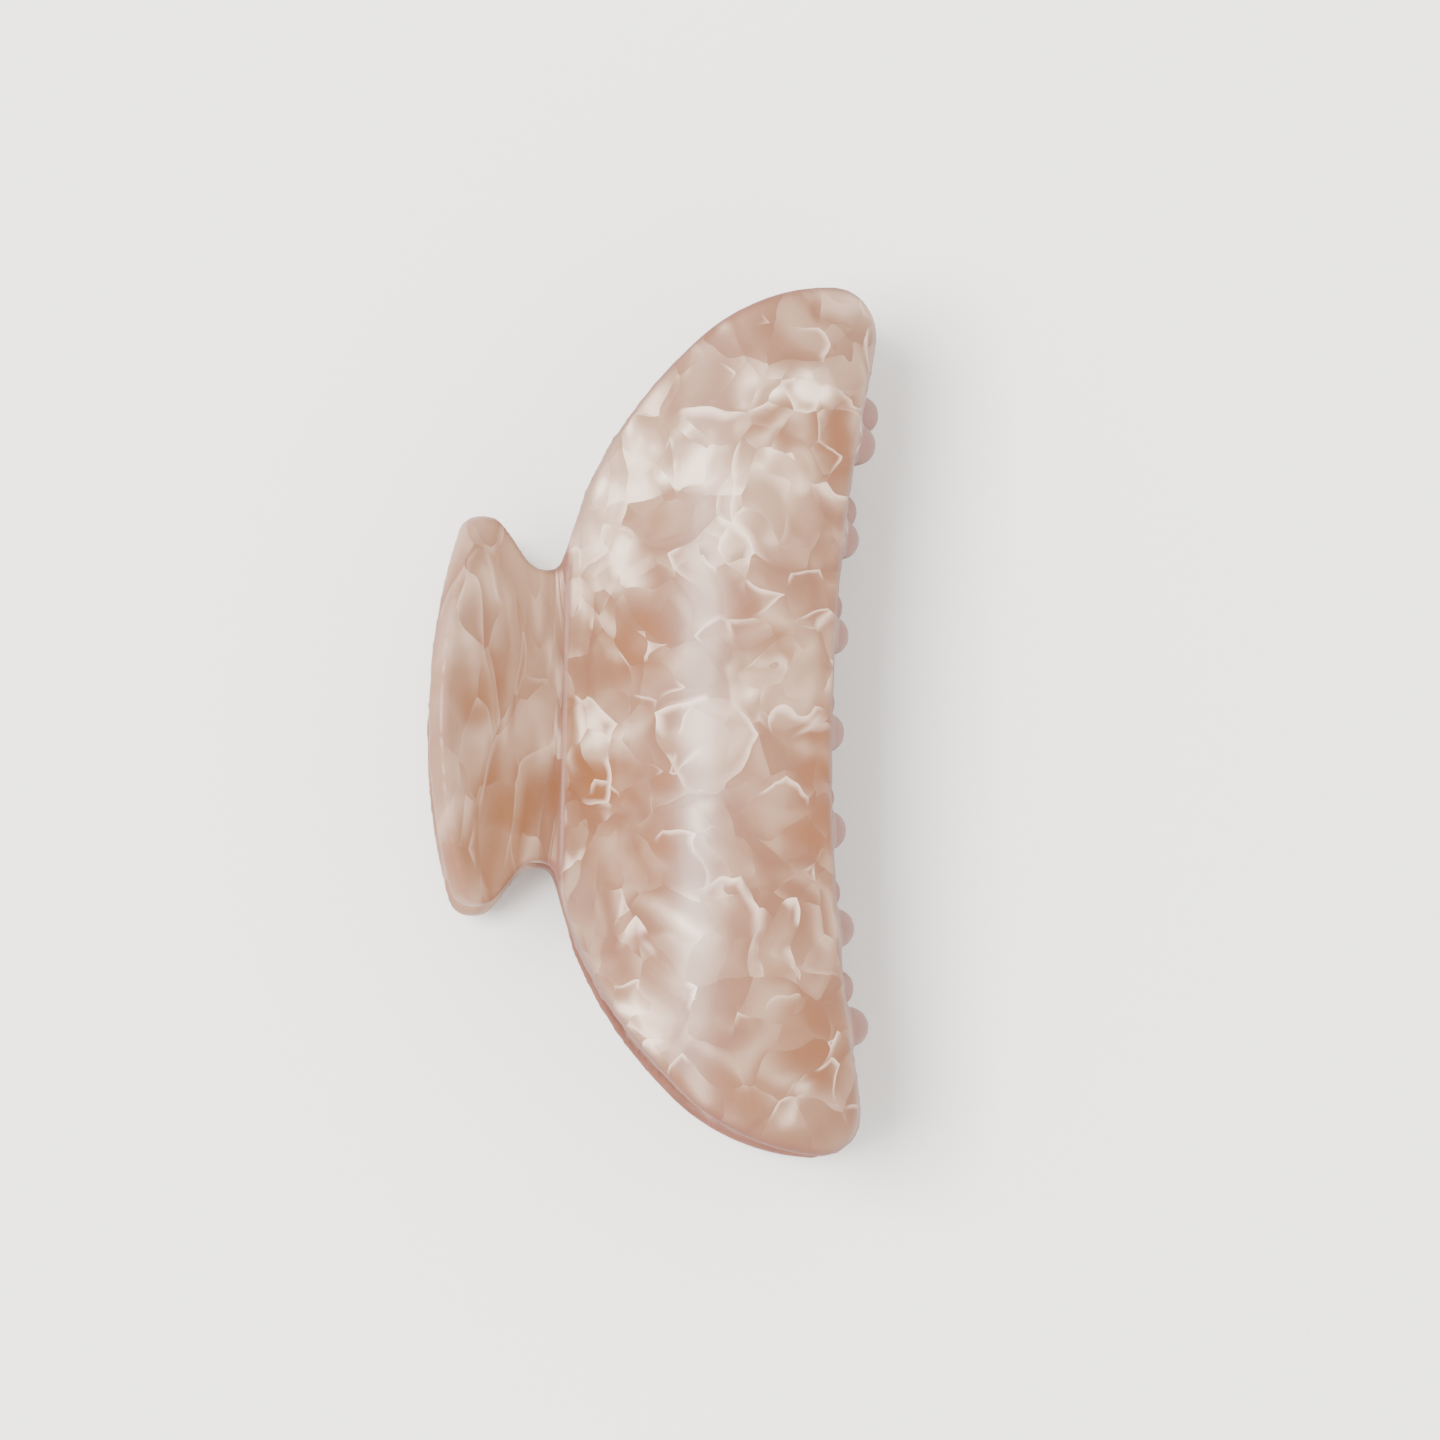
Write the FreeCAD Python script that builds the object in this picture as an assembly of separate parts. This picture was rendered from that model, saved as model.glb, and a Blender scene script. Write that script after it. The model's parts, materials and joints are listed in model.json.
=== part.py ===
import FreeCAD, Part
import os
from math import acos, asin, atan2, cos, degrees, hypot, pi, radians, sin, sqrt
from FreeCAD import Vector

os.makedirs("parts", exist_ok=True)

# Frame: the closed clip lies on its lower jaw, as it would on a table.
# +Y runs along the hinge pin, +X points from the hinge to the teeth, +Z is up.
# Everything is drawn about the pin axis first and moved to the base at the end.

# Driving dimensions, mm
half_depth = 22.2          # pin axis to the highest point of one jaw
wall = 3.2                 # thickness of the moulded plate
crease_height = 8.2        # pin axis to the outer face where wing and jaw meet
dome_radius = 400.0        # slow curve of the plate along the hinge
jaw_heading = 58.0         # direction in which the jaw leaves the crease, degrees
jaw_bends = [(9.0, -10.0), (15.0, -42.0), (14.0, -34.0), (12.0, -26.0)]   # (length, turn) of each stretch
wing_heading = 141.8
wing_bends = [(7.0, -2.0), (22.0, -9.0)]
wing_tilt = 43.0           # mean slope of the wing, the direction its edge is cut along

jaw_half_length = 55.0     # plan size of the crescent
bite_depth = 33.4          # crease to the middle of the toothed edge
bite_radius = 236.0        # hollow curve of the toothed edge
ear_reach = 38.2           # crease to the outermost point of an ear
neck_half = 18.6           # half width of the neck between wing and jaw
neck_x = -2.4              # where the neck is narrowest
wing_half = 24.7

tooth_count = 7
tooth_pitch = 12.35
upper_shift = -1.5         # middle tooth of each row, along +Y of its own jaw
lower_shift = -3.9
tooth_inset = 3.6          # middle tooth root, in from the toothed edge
tooth_spread = 1.0         # how much nearer to the edge the roots are at tooth_far
tooth_far = 40.0
tooth_heading = -36.0
tooth_bends = [(8.6, -66.0), (8.6, -20.0)]
tooth_root = 2.8
tooth_tip = 1.9
tooth_stations = 4         # sections per stretch of a tooth

pin_radius = 0.9
pin_gap = 0.05             # running clearance of the pin in the lugs
pin_head_radius = 1.7
pin_head = 0.9
pin_head_gap = 0.1         # play under each head
lug_radius = 3.2
lug_length = 3.4
lug_inner = 6.0            # centre plane to the nearer lug
lug_gap = 0.2              # side play between neighbouring lugs
web_half = 2.3             # half thickness of the web between barrel and plate
web_top = 7.4

wire_radius = 0.55
coil_radius = 2.25         # to the middle of the wire
coil_pitch = 1.2
coil_turns = 7             # whole turns, besides the part turn between the legs
leg_reach = 8.0            # distance along the outer stretch of the wing at which a leg ends
leg_gap = 0.3
margin = 12.0              # how far cutting tools run past the part


def bend(x, z, heading, bends, inset):
    """Chain of tangent arcs in the XZ plane; returns its (start, middle, end, centre, radius) list."""
    arcs = []
    h = radians(heading)
    for length, turn in bends:
        t = radians(turn)
        r = length / t
        cx = x - r * sin(h)
        cz = z + r * cos(h)
        reach = r + inset
        points = []
        for part in (0.0, 0.5, 1.0):
            a = h + t * part
            points.append(Vector(cx + reach * sin(a), 0, cz - reach * cos(a)))
        arcs.append((points[0], points[1], points[2], cx, cz, abs(reach)))
        x = cx + r * sin(h + t)
        z = cz - r * cos(h + t)
        h = h + t
    return arcs


def as_edges(arcs):
    return [Part.Arc(a[0], a[1], a[2]).toShape() for a in arcs]


def jaw_face(inset):
    return bend(0.0, crease_height, jaw_heading, jaw_bends, inset)


def wing_face(inset):
    return bend(0.0, crease_height, wing_heading, wing_bends, inset)


def height_at(x, inset):
    """Height of the jaw sheet at x, on the face set in by inset."""
    for start, middle, end, cx, cz, r in jaw_face(inset):
        if min(start.x, end.x) <= x <= max(start.x, end.x):
            return cz + sqrt(r * r - (x - cx) ** 2)
    raise ValueError("x is off the jaw")


def dome_drop(y):
    return dome_radius - sqrt(dome_radius ** 2 - y * y)


def edge_at(y):
    """Plan position of the toothed edge."""
    return bite_depth + bite_radius - sqrt(bite_radius ** 2 - y * y)


def sheet():
    """The bent and slightly domed plate, before its outline is cut."""
    outer_jaw = jaw_face(0.0)
    inner_jaw = jaw_face(wall)
    outer_wing = wing_face(0.0)
    inner_wing = wing_face(-wall)
    bottom = Part.Arc(inner_wing[0][0], Vector(0, 0, crease_height - wall), inner_jaw[0][0])
    edges = as_edges(outer_jaw) + as_edges(inner_jaw) + as_edges(outer_wing) + as_edges(inner_wing)
    edges.append(bottom.toShape())
    edges.append(Part.LineSegment(outer_jaw[-1][2], inner_jaw[-1][2]).toShape())
    edges.append(Part.LineSegment(outer_wing[-1][2], inner_wing[-1][2]).toShape())
    face = Part.Face(Part.Wire(Part.sortEdges(edges)[0]))
    axis = Vector(0, 0, half_depth - dome_radius)
    sweep = degrees(asin((jaw_half_length + margin) / dome_radius))
    face.rotate(axis, Vector(1, 0, 0), -sweep)
    return face.revolve(axis, Vector(1, 0, 0), 2 * sweep)


def arc(a, b, c):
    if a[1] == b[1] == c[1]:
        return Part.LineSegment(Vector(a[0], a[1], 0), Vector(c[0], c[1], 0)).toShape()
    return Part.Arc(Vector(a[0], a[1], 0), Vector(b[0], b[1], 0), Vector(c[0], c[1], 0)).toShape()


def closed(arcs):
    """Face inside a half outline and its mirror image; arcs are (start, middle, end) points."""
    edges = []
    for p, q, r in arcs:
        edges.append(arc(p, q, r))
        edges.append(arc((p[0], -p[1]), (q[0], -q[1]), (r[0], -r[1])))
    for x, y in (arcs[0][0], arcs[-1][2]):
        if y > 0:
            edges.append(Part.LineSegment(Vector(x, y, 0), Vector(x, -y, 0)).toShape())
    return Part.Face(Part.Wire(Part.sortEdges(edges)[0]))


def crescent_outline():
    """Plan outline from the narrowest place of the neck to the toothed edge."""
    return closed([
        [(neck_x, neck_half), (-1.4, 18.9), (-0.6, 20.2)],
        [(-0.6, 20.2), (4.9, 34.1), (14.0, 46.0)],
        [(14.0, 46.0), (22.5, 52.3), (32.7, jaw_half_length)],
        [(32.7, jaw_half_length), (36.9, 53.4), (ear_reach, 50.4)],
        [(ear_reach, 50.4), (38.1, 47.5), (edge_at(43.6), 43.6)],
        [(edge_at(43.6), 43.6), (edge_at(24.0), 24.0), (bite_depth, 0.0)],
    ])


def wing_outline():
    """Outline of the finger wing in its own plane, from the same place of the neck."""
    stretch = 1.0 / cos(radians(wing_tilt))
    arcs = [
        [(0.0, neck_half), (neck_x / 2, neck_half), (neck_x, neck_half)],
        [(neck_x, neck_half), (-3.9, 19.2), (-4.9, 20.4)],
        [(-4.9, 20.4), (-6.1, 22.2), (-7.1, 23.6)],
        [(-7.1, 23.6), (-9.3, wing_half), (-11.4, 23.2)],
        [(-11.4, 23.2), (-14.2, 12.3), (-15.3, 0.0)],
    ]
    return closed([[(x * stretch, y) for x, y in points] for points in arcs])


def half_space(sign):
    """Everything on one side of the narrowest place of the neck."""
    size = 4 * margin + 2 * jaw_half_length
    corner = Vector(neck_x if sign > 0 else neck_x - size, -size / 2, -size / 2)
    return Part.makeBox(size, size, size, corner)


def jaw_plate():
    """Crescent side of the moulding, cut square to the closing plane."""
    cutter = crescent_outline().extrude(Vector(0, 0, half_depth + margin))
    return sheet().common(cutter).common(half_space(1))


def wing_plate():
    """Finger side of the moulding, its rim cut square to the wing itself."""
    cutter = wing_outline().extrude(Vector(0, 0, 2 * margin))
    cutter.translate(Vector(0, 0, -margin))
    cutter.rotate(Vector(0, 0, 0), Vector(0, 1, 0), wing_tilt)
    cutter.translate(Vector(0, 0, crease_height))
    return sheet().common(cutter).common(half_space(-1))


def tooth(y):
    """Round tapered prong that leaves the plate just inside its edge and curls in and down."""
    x = edge_at(y) - tooth_inset + tooth_spread * (y / tooth_far) ** 2
    z = height_at(x, wall) - dome_drop(y)
    arcs = bend(x, z, tooth_heading, tooth_bends, 0.0)
    total = sum(length for length, turn in tooth_bends)
    gone = 0.0
    rings = []
    h = radians(tooth_heading)
    for (length, turn), (start, middle, end, cx, cz, r) in zip(tooth_bends, arcs):
        steps = range(0 if not rings else 1, tooth_stations + 1)
        for i in steps:
            t = i / tooth_stations
            a = h + radians(turn) * t
            here = Vector(cx - r * sin(a), y, cz + r * cos(a))
            way = Vector(cos(a), 0, sin(a))
            size = tooth_root + (tooth_tip - tooth_root) * ((gone + length * t) / total) ** 1.5
            rings.append(Part.Wire(Part.Circle(here, way, size).toShape()))
        gone = gone + length
        h = h + radians(turn)
    body = Part.makeLoft(rings, True, False)
    root = Part.makeSphere(tooth_root, Vector(x, y, z))
    return body.fuse(root).fuse(Part.makeSphere(tooth_tip, here))


def lug(y0):
    """Hinge knuckle with the web that joins it to the plate."""
    barrel = Part.makeCylinder(lug_radius, lug_length, Vector(0, y0, 0), Vector(0, 1, 0))
    web = Part.makeBox(2 * web_half, lug_length, web_top, Vector(-web_half, y0, 0))
    return barrel.fuse(web)


def jaw(shift):
    """One moulding, drawn as the upper jaw; shift is the place of its middle tooth."""
    body = jaw_plate().fuse(wing_plate())
    for i in range(tooth_count):
        y = ((tooth_count - 1) / 2 - i) * tooth_pitch + shift
        body = body.fuse(tooth(y))
    outer_start = -(lug_inner + lug_gap + 2 * lug_length)
    for y0 in (outer_start, lug_inner):
        body = body.fuse(lug(y0))
    bore = Part.makeCylinder(pin_radius + pin_gap, 4 * margin, Vector(0, -2 * margin, 0), Vector(0, 1, 0))
    return body.cut(bore).removeSplitter()


def pin():
    """Steel pin with a low domed head at each end."""
    half = lug_inner + 2 * lug_length + lug_gap
    body = Part.makeCylinder(pin_radius, 2 * half, Vector(0, -half, 0), Vector(0, 1, 0))
    for side in (1, -1):
        out = Vector(0, side, 0)
        head = Part.makeCone(pin_head_radius, pin_radius, pin_head, out * (half + pin_head_gap), out)
        collar = Part.makeCylinder(pin_radius, pin_head, out * (half - pin_head / 2), out)
        body = body.fuse(head).fuse(collar)
    return body.removeSplitter()


def leg_tip():
    """Middle of the wire where a leg ends, resting on the upper wing's inner face."""
    length, turn = wing_bends[-1]
    start, middle, end, cx, cz, r = wing_face(-wall - wire_radius - leg_gap)[-1]
    h = radians(wing_heading + wing_bends[0][1] + turn * leg_reach / length)
    return Vector(cx - r * sin(h), 0, cz + r * cos(h))


def spring():
    """Torsion spring: close coil round the pin with a straight leg along each wing."""
    tip = leg_tip()
    tangent = atan2(tip.z, tip.x) - acos(coil_radius / hypot(tip.x, tip.z))
    turns = coil_turns + tangent / pi
    half = coil_pitch * turns / 2
    coil = Part.makeHelix(coil_pitch, 2 * half, coil_radius)
    coil.rotate(Vector(0, 0, 0), Vector(1, 0, 0), -90)
    coil.rotate(Vector(0, 0, 0), Vector(0, 1, 0), -degrees(tangent))
    coil.translate(Vector(0, -half, 0))
    root = Vector(coil_radius * cos(tangent), -half, coil_radius * sin(tangent))
    first = Vector(tip.x, -half, tip.z)
    last = Vector(tip.x, half, -tip.z)
    way = Part.LineSegment(first, root).toShape()
    back = Part.LineSegment(Vector(root.x, half, -root.z), last).toShape()
    path = Part.Wire([way] + coil.Edges + [back])
    section = Part.Wire(Part.Circle(first, root - first, wire_radius).toShape())
    return path.makePipeShell([section], True, True)


def place(shape):
    """From pin-axis coordinates to the frame: origin at the middle of the base."""
    shape = shape.copy()
    shape.translate(Vector(-middle_x, 0, base))
    return shape


def save(name, shape):
    print(name, len(shape.Solids), shape.isValid(), round(shape.Volume, 1), shape.optimalBoundingBox())
    shape.exportStep("parts/" + name + ".step")


upper = jaw(upper_shift)
lower = jaw(lower_shift)
lower.rotate(Vector(0, 0, 0), Vector(1, 0, 0), 180)
extents = [shape.optimalBoundingBox() for shape in (upper, lower)]
middle_x = (min(box.XMin for box in extents) + max(box.XMax for box in extents)) / 2
base = extents[0].ZMax
save("upper_jaw", place(upper))
save("lower_jaw", place(lower))
save("hinge_pin", place(pin()))
save("torsion_spring", place(spring()))
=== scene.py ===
import bpy
import bmesh
import json
from math import acos, atan2, cos, hypot, pi, radians, sin
from mathutils import Matrix, Vector


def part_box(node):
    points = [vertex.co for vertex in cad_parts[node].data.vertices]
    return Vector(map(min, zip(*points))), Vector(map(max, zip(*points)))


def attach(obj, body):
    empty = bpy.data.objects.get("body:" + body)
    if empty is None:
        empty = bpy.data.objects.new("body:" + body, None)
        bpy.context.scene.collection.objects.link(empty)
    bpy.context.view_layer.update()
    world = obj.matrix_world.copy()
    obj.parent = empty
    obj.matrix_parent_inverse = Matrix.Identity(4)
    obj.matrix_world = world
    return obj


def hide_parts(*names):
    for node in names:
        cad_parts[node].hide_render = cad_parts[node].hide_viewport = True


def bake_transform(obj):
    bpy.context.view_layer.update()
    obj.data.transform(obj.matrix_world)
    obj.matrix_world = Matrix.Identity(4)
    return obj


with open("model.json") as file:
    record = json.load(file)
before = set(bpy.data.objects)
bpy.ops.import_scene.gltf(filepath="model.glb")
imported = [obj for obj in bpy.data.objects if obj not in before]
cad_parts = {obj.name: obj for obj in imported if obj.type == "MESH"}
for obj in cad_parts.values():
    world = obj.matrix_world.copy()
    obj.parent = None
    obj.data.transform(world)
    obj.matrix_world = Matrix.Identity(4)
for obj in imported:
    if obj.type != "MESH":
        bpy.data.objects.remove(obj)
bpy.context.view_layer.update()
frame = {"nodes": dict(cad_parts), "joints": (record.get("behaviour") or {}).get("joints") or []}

# Metres and radians, unless a name says otherwise. The pin runs along Y.
mm = 0.001
hinge = Vector(frame["joints"][0]["pos_m"])
print("stage: frame loaded")


def setStops(elements, stops):
    while len(elements) < len(stops):
        elements.new(1.0)
    for element, (place, colour) in zip(elements, stops):
        element.position = place
        element.color = colour


# Shader sums: a Flow is one output socket, and sums on it add their nodes
class Flow:
    def __init__(self, tree, socket):
        self.tree = tree
        self.socket = socket

    # any node: its settings first, then values or links for its sockets
    def make(self, kind, settings, inputs, output=0):
        node = self.tree.nodes.new("ShaderNode" + kind)
        for name, value in settings.items():
            if name == "stops":
                setStops(node.color_ramp.elements, value)
            else:
                setattr(node, name, value)
        for name, value in inputs.items():
            if isinstance(value, Flow):
                self.tree.links.new(value.socket, node.inputs[name])
            else:
                node.inputs[name].default_value = value
        return Flow(self.tree, node.outputs[output])

    def maths(self, operation, a, b=0.0):
        return self.make("Math", {"operation": operation}, {0: a, 1: b})

    def vector(self, operation, a, b, output=0):
        return self.make("VectorMath", {"operation": operation}, {0: a, 1: b}, output)

    def __add__(self, other):
        return self.maths("ADD", self, other)

    def __radd__(self, other):
        return self.maths("ADD", other, self)

    def __sub__(self, other):
        return self.maths("SUBTRACT", self, other)

    def __rsub__(self, other):
        return self.maths("SUBTRACT", other, self)

    def __mul__(self, other):
        return self.maths("MULTIPLY", self, other)

    def __rmul__(self, other):
        return self.maths("MULTIPLY", other, self)

    def top(self, other):
        return self.maths("MAXIMUM", self, other)

    # 0 at low, 1 at high, with a soft start and end
    def rise(self, low, high):
        return self.make("MapRange", {"interpolation_type": "SMOOTHSTEP"},
                         {"Value": self, "From Min": low, "From Max": high})

    # colour a where the factor is 0, colour b where it is 1
    def blend(self, a, b):
        return self.make("Mix", {"data_type": "RGBA"}, {0: self, 6: a, 7: b}, 2)

    def part(self, axis):
        return self.make("SeparateXYZ", {}, {0: self}, axis)


# display red, green and blue of 0 to 255, as a linear colour
def tint(*rgb):
    steps = [v / 255 for v in rgb]
    return [v / 12.92 if v < 0.04045 else ((v + 0.055) / 1.055) ** 2.4 for v in steps] + [1.0]


def newMaterial(name, fixed):
    material = bpy.data.materials.new(name)
    material.use_nodes = True
    tree = material.node_tree
    shader = tree.nodes["Principled BSDF"]
    for socket, value in fixed.items():
        shader.inputs[socket].default_value = value
    start = Flow(tree, tree.nodes.new("ShaderNodeTexCoord").outputs["Object"])
    return material, shader, start


def feed(shader, inputs):
    for socket, flow in inputs.items():
        flow.tree.links.new(flow.socket, shader.inputs[socket])


# Marbled pearl plastic of the jaws, with its pearly sheen, fold glints and highlights painted into the
# colour. Colours are linear.
pearl = {
    "flake": 11.5 * mm,
    "chip": 5.6 * mm,
    "wander": 8.0 * mm,          # how far the flakes' borders stray, in long and in short waves
    "ripple": 1.3 * mm,
    # painted light: the ground grows lighter towards the ear at +Y and towards -X, the side the light
    # falls from
    "paintedLightFall": 1.6,                 # the ground grows lighter this much per metre towards one ear
    "tones": [
        (0.00, (0.190, 0.078, 0.042, 1)),
        (0.25, (0.245, 0.124, 0.073, 1)),
        (0.50, (0.312, 0.186, 0.121, 1)),
        (0.76, (0.480, 0.325, 0.236, 1)),
        (1.00, (0.870, 0.690, 0.550, 1)),
    ],
    "amber": (0.200, 0.070, 0.022, 1),
    "glint": (0.900, 0.680, 0.540, 1),
    "plain": (0.250, 0.114, 0.090, 1),
    # the cut rim's darker colour: partly the edge's own colour, partly painted shade
    "rim": (0.165, 0.064, 0.044, 1),
    # from the pin in mm: along the clip's depth, along the pin, radius
    "amberSpots": [(3, -9, 6), (32, 35, 6), (33, -5, 5), (31, -14, 4), (12.5, -18.5, 5), (14, -7, 4),
                   (32, -40.5, 6), (-7.5, -11, 7), (-12, 3, 5), (9, 8, 5)],
    # painted highlights: soft white patches on the pearl, listed the same way
    "paintedHighlightSpots": [(22.7, 41, 4), (29.6, 41.7, 3), (22.7, 28, 9), (8, 32, 11), (4, 20, 7), (3.5, -2, 5),
                   (24, 3, 5), (17, -26, 5), (11, -38, 6), (31, -49, 5)],
    "fixed": {
        "Coat Roughness": 0.24,
        "Coat IOR": 1.45,
        "IOR": 1.45,
        "Specular IOR Level": 0.3,
        "Subsurface Weight": 0.1,
        "Subsurface Radius": (4.0, 2.2, 1.6),
        "Subsurface Scale": 0.001,
    },
}


# one scale of flakes: a painted satin sheen with its own direction in each cell, the cell's tone, its
# border
def flakes(where, size):
    scaled = {"Vector": where, "Scale": 1 / size}
    cell = where.make("TexVoronoi", {}, scaled, "Color")
    centre = where.make("TexVoronoi", {}, scaled, "Position")
    border = where.make("TexVoronoi", {"feature": "DISTANCE_TO_EDGE"}, scaled)
    inside = where.vector("SUBTRACT", where, centre)
    lean = where.vector("NORMALIZE", where.vector("SUBTRACT", cell, (0.5, 0.5, 0.5)), (0, 0, 0))
    slope = where.vector("DOT_PRODUCT", inside, lean, "Value") * (1 / size)
    phase = slope * 6.5 + cell.part(2) * 6.3
    sheen = where.maths("SINE", phase) * 0.5 + 0.5
    return slope, sheen, cell.part(1), border


def noise(where, size, detail=2.0, output="Fac"):
    return where.make("TexNoise", {}, {"Vector": where, "Scale": 1 / size, "Detail": detail}, output)


def shaken(where, size, reach):
    sway = where.vector("SUBTRACT", noise(where, size, 1.0, "Color"), (0.5, 0.5, 0.5))
    return where.vector("ADD", where, where.vector("MULTIPLY", sway, (reach, reach, reach)))


def spots(where, places):
    total = None
    for x, y, r in places:
        at = (hinge.x + x * mm, y * mm, 0.0)
        away = where.vector("DISTANCE", where, at, "Value")
        spot = 1.0 - away.rise(0.3 * r * mm, 1.25 * r * mm)
        total = spot if total is None else total.top(spot)
    return total


def pearlMaterial(name, shift):
    material, shader, start = newMaterial(name, pearl["fixed"])
    place = start.make("Mapping", {}, {"Vector": start, "Location": shift})
    wing = 1.0 - start.part(0).rise(hinge.x - 2 * mm, hinge.x)
    run = start.make("Mix", {"data_type": "VECTOR"}, {0: wing, 4: (1.0, 1.0, 1.0), 5: (1.3, 0.5, 1.0)}, 1)
    place = start.vector("MULTIPLY", place, run)
    bent = shaken(shaken(place, 12 * mm, pearl["wander"]), 3.5 * mm, pearl["ripple"])

    slope, sheen, tone, border = flakes(bent, pearl["flake"])
    slope2, sheen2, tone2, border2 = flakes(bent, pearl["chip"])
    cloud = noise(place, 15 * mm, 2.0)
    flat = start.make("CombineXYZ", {}, {0: start.part(0), 1: start.part(1)})
    # painted highlights: soft white patches on the pearl
    paintedHighlight = spots(shaken(flat, 5 * mm, 4 * mm), pearl["paintedHighlightSpots"])
    warm = spots(shaken(flat, 5 * mm, 6 * mm), pearl["amberSpots"])

    broken = noise(place, 10 * mm).rise(0.48, 0.6)     # where the small chips take over
    # painted satin sheen of the flakes, the large ones' giving way to the chips'
    paintedSheen = sheen * (1.0 - broken) + sheen2 * broken
    # painted light, lighter towards the ear at +Y and towards -X
    paintedLightFall = (start.part(1) - start.part(0) * 0.8) * pearl["paintedLightFall"]
    # lightness of the ground: painted sheen, painted highlights and painted light fall, with the flakes'
    # own tones, clouds, amber and seams
    light = paintedSheen * (0.36 - wing * 0.12) + wing * 0.14 + sheen2 * 0.12 + tone * 0.14 + cloud * 0.28
    light = light + paintedHighlight * 0.32 + paintedLightFall + 0.06 - warm * 0.12 - (1.0 - border.rise(0.0, 0.16)) * 0.12
    body = light.make("ValToRGB", {"stops": pearl["tones"]}, {0: light.rise(0.0, 1.25)})
    amber = (cloud.rise(0.55, 0.72) * 0.6).top(warm * 0.75) * (1.0 - sheen2 * 0.55)
    body = amber.blend(body, pearl["amber"])

    # painted glints on the flakes' folds, sharp at the border of a flake and fading into it
    foldGlint = (1.0 - border.rise(0.0, 0.10)) * (slope * tone.rise(0.2, 0.6)).rise(0.05, 0.4)
    chipFoldGlint = (1.0 - border2.rise(0.0, 0.11)) * (slope2 * tone2.rise(0.3, 0.6)).rise(0.1, 0.45)
    # a painted highlight line along the crease between wing and jaw
    creaseHighlight = 1.0 - start.maths("ABSOLUTE", start.part(0) - hinge.x).rise(0.08 * mm, 0.3 * mm)
    # where the painted fold glints show
    gaps = noise(place, 5 * mm, 1.0).rise(0.4, 0.56)    # the folds come and go
    foldGlint = (foldGlint.top(chipFoldGlint * 0.7) * gaps * (1.0 - wing * 0.7)).top(creaseHighlight * 0.5)
    body = (foldGlint * 0.65).blend(body, pearl["glint"])

    plain = start.make("Attribute", {"attribute_name": "plain"}, {}, "Fac")
    rim = start.make("Attribute", {"attribute_name": "rim"}, {}, "Fac")
    mottle = noise(place, 6 * mm).rise(0.3, 0.7)
    body = plain.blend(body, mottle.blend(pearl["plain"], [v * 0.85 for v in pearl["plain"]]))
    # the rim's darker colour: partly its own, partly painted shade
    body = rim.blend(body, mottle.blend(pearl["rim"], [v * 1.2 for v in pearl["rim"]]))
    bare = plain.top(rim)
    rough = 0.42 - foldGlint * 0.12 + bare * 0.16
    height = (sheen * 0.5 + sheen2 * 0.25 + foldGlint * 0.25) * (1.0 - bare)
    relief = start.make("Bump", {}, {"Height": height, "Distance": 0.35 * mm, "Strength": 0.6})
    coat = 0.32 - bare * 0.3
    feed(shader, {"Base Color": body, "Roughness": rough, "Normal": relief, "Coat Weight": coat})
    return material


# Drawn steel of the wire and pin
def steelMaterial(name, colour, grain):
    material, shader, start = newMaterial(name, {"Metallic": 1.0, "IOR": 2.5})
    lines = start.make("Mapping", {}, {"Vector": start, "Scale": grain})
    scratch = noise(lines, 0.4 * mm, 4.0)
    patch = noise(start, 3 * mm, 3.0)
    tone = (scratch * 0.5 + patch * 0.5).rise(0.3, 0.7)
    dark = [v * 0.7 for v in colour[:3]] + [1.0]
    relief = start.make("Bump", {}, {"Height": scratch, "Distance": 0.02 * mm, "Strength": 0.4})
    feed(shader, {
        "Base Color": tone.blend(dark, colour),
        "Roughness": 0.22 + scratch * 0.2,
        "Normal": relief,
    })
    return material


# a mesh object in the scene, at the origin
def addObject(name, mesh, material):
    piece = bpy.data.objects.new(name, mesh)
    bpy.context.scene.collection.objects.link(piece)
    mesh.materials.clear()
    mesh.materials.append(material)
    for face in mesh.polygons:
        face.use_smooth = True
    return piece


def fromBmesh(name, bm, material):
    bmesh.ops.recalc_face_normals(bm, faces=bm.faces)
    mesh = bpy.data.meshes.new(name)
    bm.to_mesh(mesh)
    bm.free()
    return addObject(name, mesh, material)


# Jaws
jaw = {
    "grain": 0.42 * mm,          # face size of the finished skin
    "fineGrain": 0.25 * mm,      # face size while the edges are worked, so that thin lips hold
    "edge": 0.6 * mm,            # radius left on the moulded edges
    "inset": 0.03 * mm,          # keeps the finished skin just inside the CAD's
    "smoothing": 8,              # passes of each smoothing step
    # the rim's darkening, painted shade included, spreads wider on the lower jaw, whose rim lies in the
    # upper jaw's shade
    "rimSpread": {"upper": 1, "lower": 3},   # faces by which the rim's colour runs over its edges
    "biteDepth": 33.4 * mm,      # pin to the middle of the toothed edge
    "biteRadius": 236 * mm,
    "toothRow": 44 * mm,         # half length of the row
    "innerTop": 19.0 * mm,       # highest point of the inner face above the pin
    "innerTopAt": 20.5 * mm,
    "innerBend": 26.0,           # fall of the inner face per square metre of distance
    "domeBend": 1.25,
    "wingSlope": -0.787,
    "wingRim": 0.35,             # the wing's rim is nearly as light as its face
    "lugReach": 5.5 * mm,        # the hinge lugs are marbled all round
}


def softStep(value, low, high):
    t = min(max((value - low) / (high - low), 0.0), 1.0)
    return t * t * (3 - 2 * t)


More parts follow.
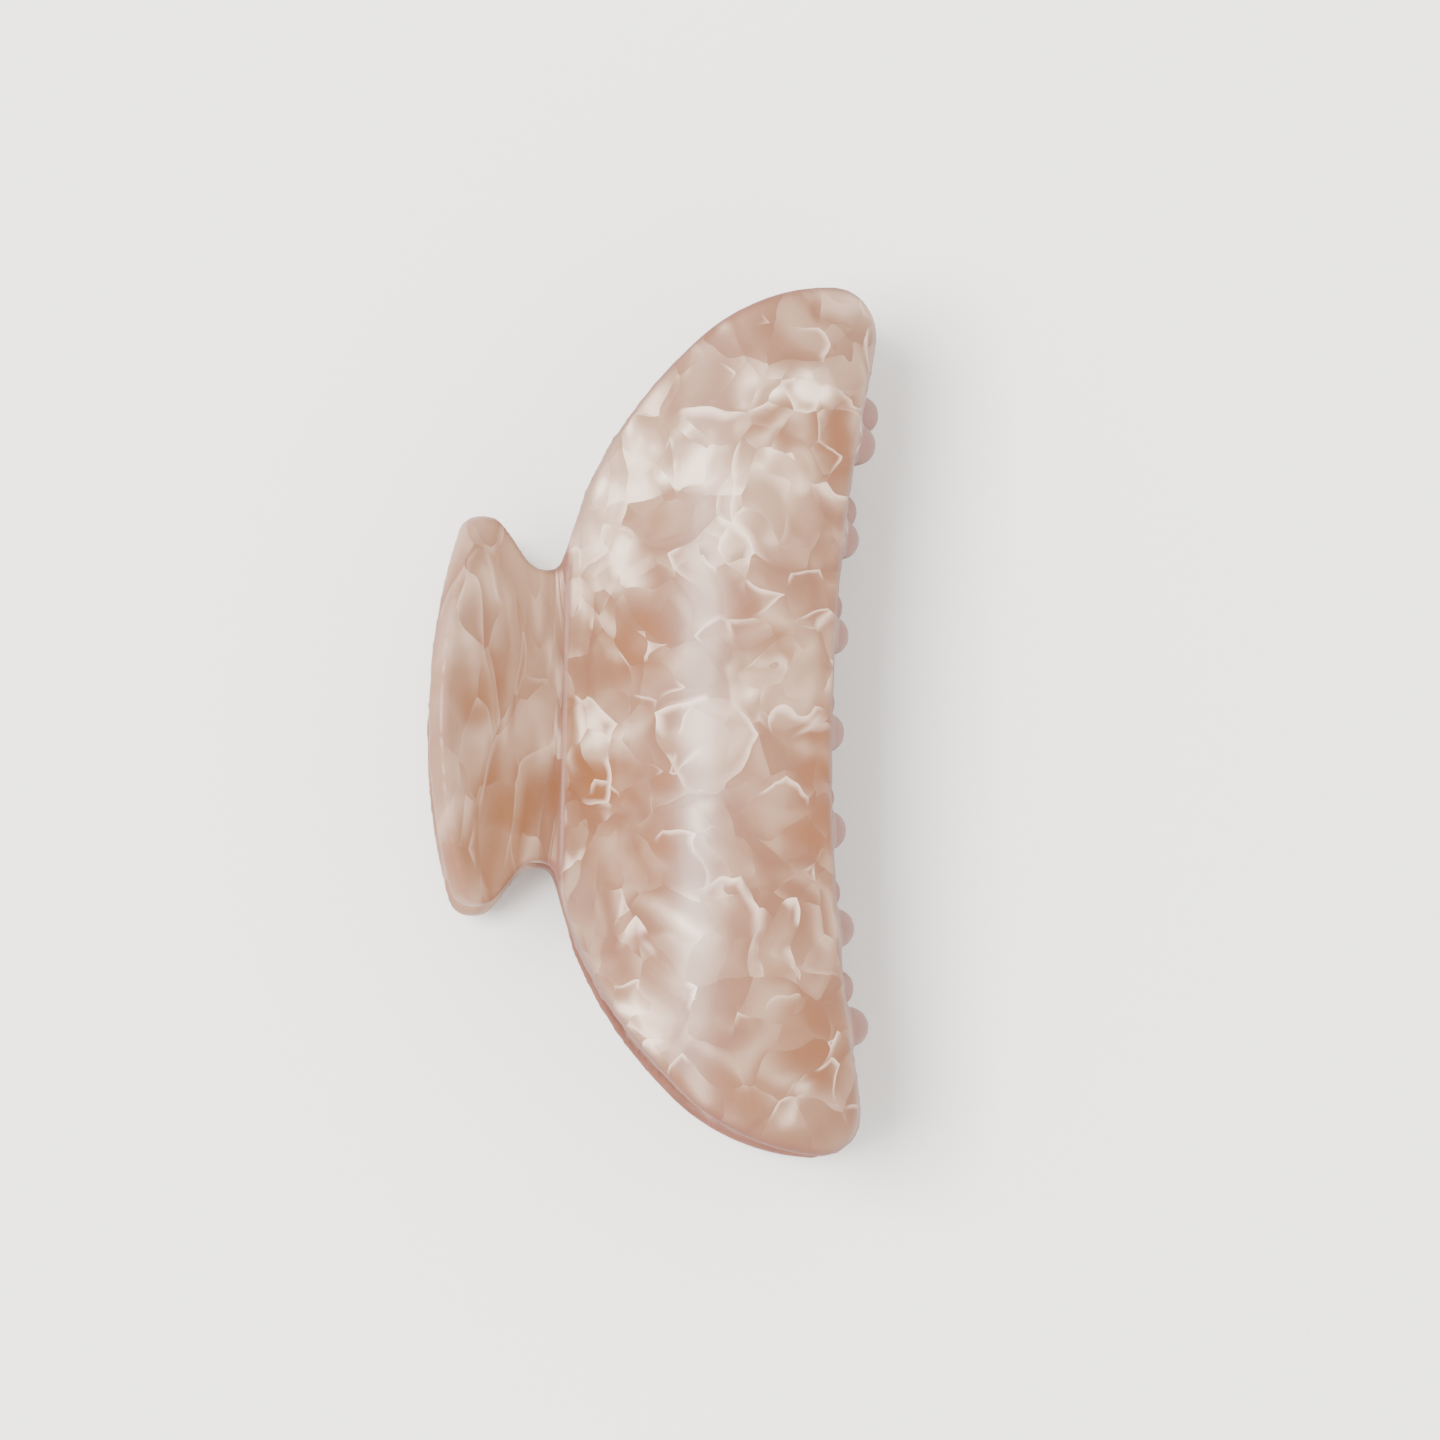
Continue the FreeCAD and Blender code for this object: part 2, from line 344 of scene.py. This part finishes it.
# a copy of a jaw with every moulded edge rounded: pared down and grown back on fine faces,
# then skinned with larger ones, with a smoothing after each
def roundedCopy(node, name, material):
    bm = bmesh.new()
    bm.from_mesh(frame["nodes"][node].data)
    bmesh.ops.remove_doubles(bm, verts=bm.verts, dist=0.001 * mm)
    mesh = bpy.data.meshes.new(name)
    bm.to_mesh(mesh)
    bm.free()
    rough = bpy.data.objects.new(name + "_rough", mesh)
    bpy.context.scene.collection.objects.link(rough)
    grow = jaw["edge"] - jaw["inset"]
    steps = ("fineGrain", -jaw["edge"], "fineGrain", "smooth",
             grow, "fineGrain", "smooth", "grain", "smooth")
    for step in steps:
        if step in ("fineGrain", "grain"):
            change = rough.modifiers.new("skin", "REMESH")
            change.mode = "VOXEL"
            change.voxel_size = jaw[step]
        elif step == "smooth":
            change = rough.modifiers.new("smooth", "SMOOTH")
            change.iterations = jaw["smoothing"]
        else:
            change = rough.modifiers.new("offset", "DISPLACE")
            change.mid_level = 0.0
            change.strength = step
    bpy.context.view_layer.update()
    graph = bpy.context.evaluated_depsgraph_get()
    final = bpy.data.meshes.new_from_object(rough.evaluated_get(graph))
    bpy.data.objects.remove(rough)
    final.name = name
    return addObject(name, final, material)


# each point takes the largest value next to it, spread times, and then their mean, twice
def spreadValues(mesh, values, spread):
    for turn in range(spread + 2):
        near = [[v] for v in values]
        for edge in mesh.edges:
            a, b = edge.vertices
            near[a].append(values[b])
            near[b].append(values[a])
        values = [max(group) if turn < spread else sum(group) / len(group) for group in near]
    return values


# marks the teeth, which are plain, and the cut rim, which is darker: partly its own plainer colour, partly
# painted shade
def markZones(piece, side, spread):
    mesh = piece.data
    plain = []
    rim = []
    for vert in mesh.vertices:
        x = vert.co.x - hinge.x
        y = vert.co.y
        h = side * (vert.co.z - hinge.z)
        out = Vector((vert.normal.x, vert.normal.y, side * vert.normal.z))
        inner = jaw["innerTop"] - jaw["innerBend"] * (x - jaw["innerTopAt"]) ** 2 - jaw["domeBend"] * y * y
        below = softStep(inner - h, 0.5 * mm, 1.3 * mm) * softStep(x, 20 * mm, 23 * mm)
        edge = jaw["biteDepth"] + y * y / (2 * jaw["biteRadius"])
        beyond = softStep(x - edge, 0.1 * mm, 0.6 * mm)
        if abs(y) > jaw["toothRow"]:
            beyond = 0.0
        tooth = max(below, beyond)
        slopeX = jaw["wingSlope"]
        if x > 0:
            slopeX = -2 * jaw["innerBend"] * (x - jaw["innerTopAt"])
        face = Vector((-slopeX, 2 * jaw["domeBend"] * y, 1.0)).normalized()
        plain.append(tooth)
        # the rim's darkening, partly painted shade, on faces turned away from the jaw's face
        cutEdgeAndShade = 1.0 - softStep(abs(out.dot(face)), 0.6, 0.95)
        if hypot(x, h) < jaw["lugReach"]:
            cutEdgeAndShade = 0.0
        if x < -2.4 * mm:
            cutEdgeAndShade = cutEdgeAndShade * jaw["wingRim"]
        rim.append(cutEdgeAndShade * (1.0 - tooth))
    rim = spreadValues(mesh, rim, spread)
    for name, values in (("plain", plain), ("rim", rim)):
        layer = mesh.attributes.new(name, "FLOAT", "POINT")
        layer.data.foreach_set("value", values)


def makeJaw(node, body, side, shift):
    material = pearlMaterial("pearlPlastic_" + body, shift)
    piece = roundedCopy(node, node + "_moulding", material)
    markZones(piece, side, jaw["rimSpread"][body])
    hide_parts(node)
    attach(piece, body)
    print("stage:", node, len(piece.data.polygons), "faces")


# Pin with a domed head at each end
pin = {
    "shank": 0.9 * mm,
    "headHeight": 0.9 * mm,
    "domeSteps": 6,
    "turnSteps": 48,
    "lip": 0.15 * mm,            # small flat at the head's rim
}


def makePin():
    low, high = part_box("hinge_pin")
    headRadius = (high.z - low.z) / 2
    half = high.y
    under = half - pin["headHeight"]
    outline = []
    dome = pin["headHeight"] - pin["lip"]
    for i in range(pin["domeSteps"] + 1):
        turn = pi / 2 * i / pin["domeSteps"]
        outline.append((headRadius * sin(turn), under + pin["lip"] + dome * cos(turn)))
    outline.append((headRadius, under))
    outline.append((pin["shank"], under))
    outline = outline + [(r, -y) for r, y in reversed(outline)]
    bm = bmesh.new()
    verts = [bm.verts.new((hinge.x + r, y, hinge.z)) for r, y in outline]
    for a, b in zip(verts, verts[1:]):
        bm.edges.new((a, b))
    bmesh.ops.spin(bm, geom=bm.verts[:] + bm.edges[:], cent=hinge, axis=(0, 1, 0), angle=2 * pi,
                   steps=pin["turnSteps"], use_merge=True)
    bmesh.ops.remove_doubles(bm, verts=bm.verts, dist=0.001 * mm)
    piece = fromBmesh("pin_turned", bm, steelMaterial("turnedSteel", tint(196, 190, 184), (1, 8, 1)))
    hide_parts("hinge_pin")
    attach(piece, "lower")
    print("stage: pin")


# Torsion spring: a close coil with a straight leg under each wing
spring = {
    "wire": 0.55 * mm,
    "sides": 14,
    "turns": 7,
    "stepsPerTurn": 30,
    "legSteps": 10,
    "tipBevel": 0.15 * mm,
}


def makeSpring():
    low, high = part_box("torsion_spring")
    wire = spring["wire"]
    half = high.y - wire
    radius = high.x - hinge.x - wire
    steep = atan2(high.z - hinge.z, low.x - hinge.x)
    tipX = low.x - hinge.x + wire * abs(sin(steep))
    tipZ = high.z - hinge.z - wire * abs(cos(steep))
    start = atan2(tipZ, tipX) - acos(radius / hypot(tipX, tipZ))   # angle where the leg leaves the coil
    root = Vector((radius * cos(start), -half, radius * sin(start)))
    legOut = Vector((tipX, -half, tipZ)) - root
    turns = spring["turns"] + start / pi
    steps = round(turns * spring["stepsPerTurn"])

    bm = bmesh.new()
    place = Matrix.Translation(hinge + root) @ legOut.to_track_quat("Z", "Y").to_matrix().to_4x4()
    bmesh.ops.create_circle(bm, segments=spring["sides"], radius=wire, matrix=place)
    firstRing = bm.edges[:]
    coil = bmesh.ops.spin(bm, geom=firstRing, cent=hinge, axis=(0, 1, 0), dvec=(0, 2 * half / steps, 0),
                          angle=2 * pi * turns, steps=steps)
    lastRing = [e for e in coil["geom_last"] if isinstance(e, bmesh.types.BMEdge)]
    legBack = Vector((legOut.x, 0, -legOut.z))
    for ring, way in ((firstRing, legOut), (lastRing, legBack)):
        for i in range(spring["legSteps"]):
            grown = bmesh.ops.extrude_edge_only(bm, edges=ring)["geom"]
            ring = [e for e in grown if isinstance(e, bmesh.types.BMEdge) and e.is_boundary]
            moved = [v for v in grown if isinstance(v, bmesh.types.BMVert)]
            bmesh.ops.translate(bm, verts=moved, vec=way / spring["legSteps"])
        cap = bmesh.ops.contextual_create(bm, geom=ring)["faces"]
        bmesh.ops.bevel(bm, geom=list(cap[0].edges), offset=spring["tipBevel"], affect="EDGES", segments=2,
                        profile=0.5, material=-1)
    piece = fromBmesh("spring_wire", bm, steelMaterial("springSteel", tint(206, 200, 192), (6, 1, 6)))
    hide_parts("torsion_spring")
    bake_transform(piece)
    print("stage: spring", round(turns, 2), "turns")


# Floor, lights and camera
studio = {
    "floorSize": 4.0,
    "floor": tint(242, 240, 236),
    "sky": 2.0,
    "keyPower": 31.0,
    "keySize": 0.45,
    "keyAway": 1.2,
    "keyHeight": 70,             # degrees above the floor
    "keyFrom": 180,              # degrees round from +X
    "lens": 180,
    "distance": 0.922,
    "tiltAlong": -4.0,           # degrees
    "tiltAcross": 2.4,
    "roll": -1.4,
    "aside": (8.9 * mm, 0.4 * mm),   # from the pin's foot to the middle of the frame
}


def makeStudio():
    bm = bmesh.new()
    bmesh.ops.create_grid(bm, x_segments=1, y_segments=1, size=studio["floorSize"] / 2)
    material, shader, start = newMaterial("paperFloor", {"Roughness": 0.9, "Specular IOR Level": 0.1})
    fibre = noise(start, 0.6 * mm, 3.0).rise(0.2, 0.8)
    pale = [v * 0.985 for v in studio["floor"][:3]] + [1.0]
    feed(shader, {"Base Color": fibre.blend(pale, studio["floor"])})
    floor = fromBmesh("floor", bm, material)

    world = bpy.data.worlds.new("softSky")
    bpy.context.scene.world = world
    world.use_nodes = True
    world.node_tree.nodes["Background"].inputs["Color"].default_value = tint(255, 254, 252)
    world.node_tree.nodes["Background"].inputs["Strength"].default_value = studio["sky"]

    lamp = bpy.data.lights.new("key", "AREA")
    lamp.size = studio["keySize"]
    lamp.energy = studio["keyPower"]
    key = bpy.data.objects.new("key", lamp)
    bpy.context.scene.collection.objects.link(key)
    up = radians(studio["keyHeight"])
    around = radians(studio["keyFrom"])
    way = Vector((cos(up) * cos(around), cos(up) * sin(around), sin(up)))
    facing = way.to_track_quat("Z", "Y").to_matrix().to_4x4()
    key.matrix_world = Matrix.Translation(way * studio["keyAway"]) @ facing


def makeCamera():
    camera = bpy.data.objects.new("camera", bpy.data.cameras.new("camera"))
    bpy.context.scene.collection.objects.link(camera)
    camera.data.lens = studio["lens"]
    camera.data.sensor_width = 36
    camera.data.clip_start = 0.01
    turn = Matrix.Rotation(radians(studio["roll"]), 4, "Z")
    turn = turn @ Matrix.Rotation(radians(studio["tiltAcross"]), 4, "Y")
    turn = turn @ Matrix.Rotation(radians(studio["tiltAlong"]), 4, "X")
    back = Matrix.Translation((studio["aside"][0], studio["aside"][1], studio["distance"]))
    camera.matrix_world = Matrix.Translation((0, 0, hinge.z)) @ turn.inverted() @ back
    bpy.context.scene.camera = camera


makeStudio()
makeCamera()
print("stage: studio")
makeJaw("upper_jaw", "upper", 1, (0, 0, 0))
makeJaw("lower_jaw", "lower", -1, (0.31, 0.17, 0.05))
makePin()
makeSpring()
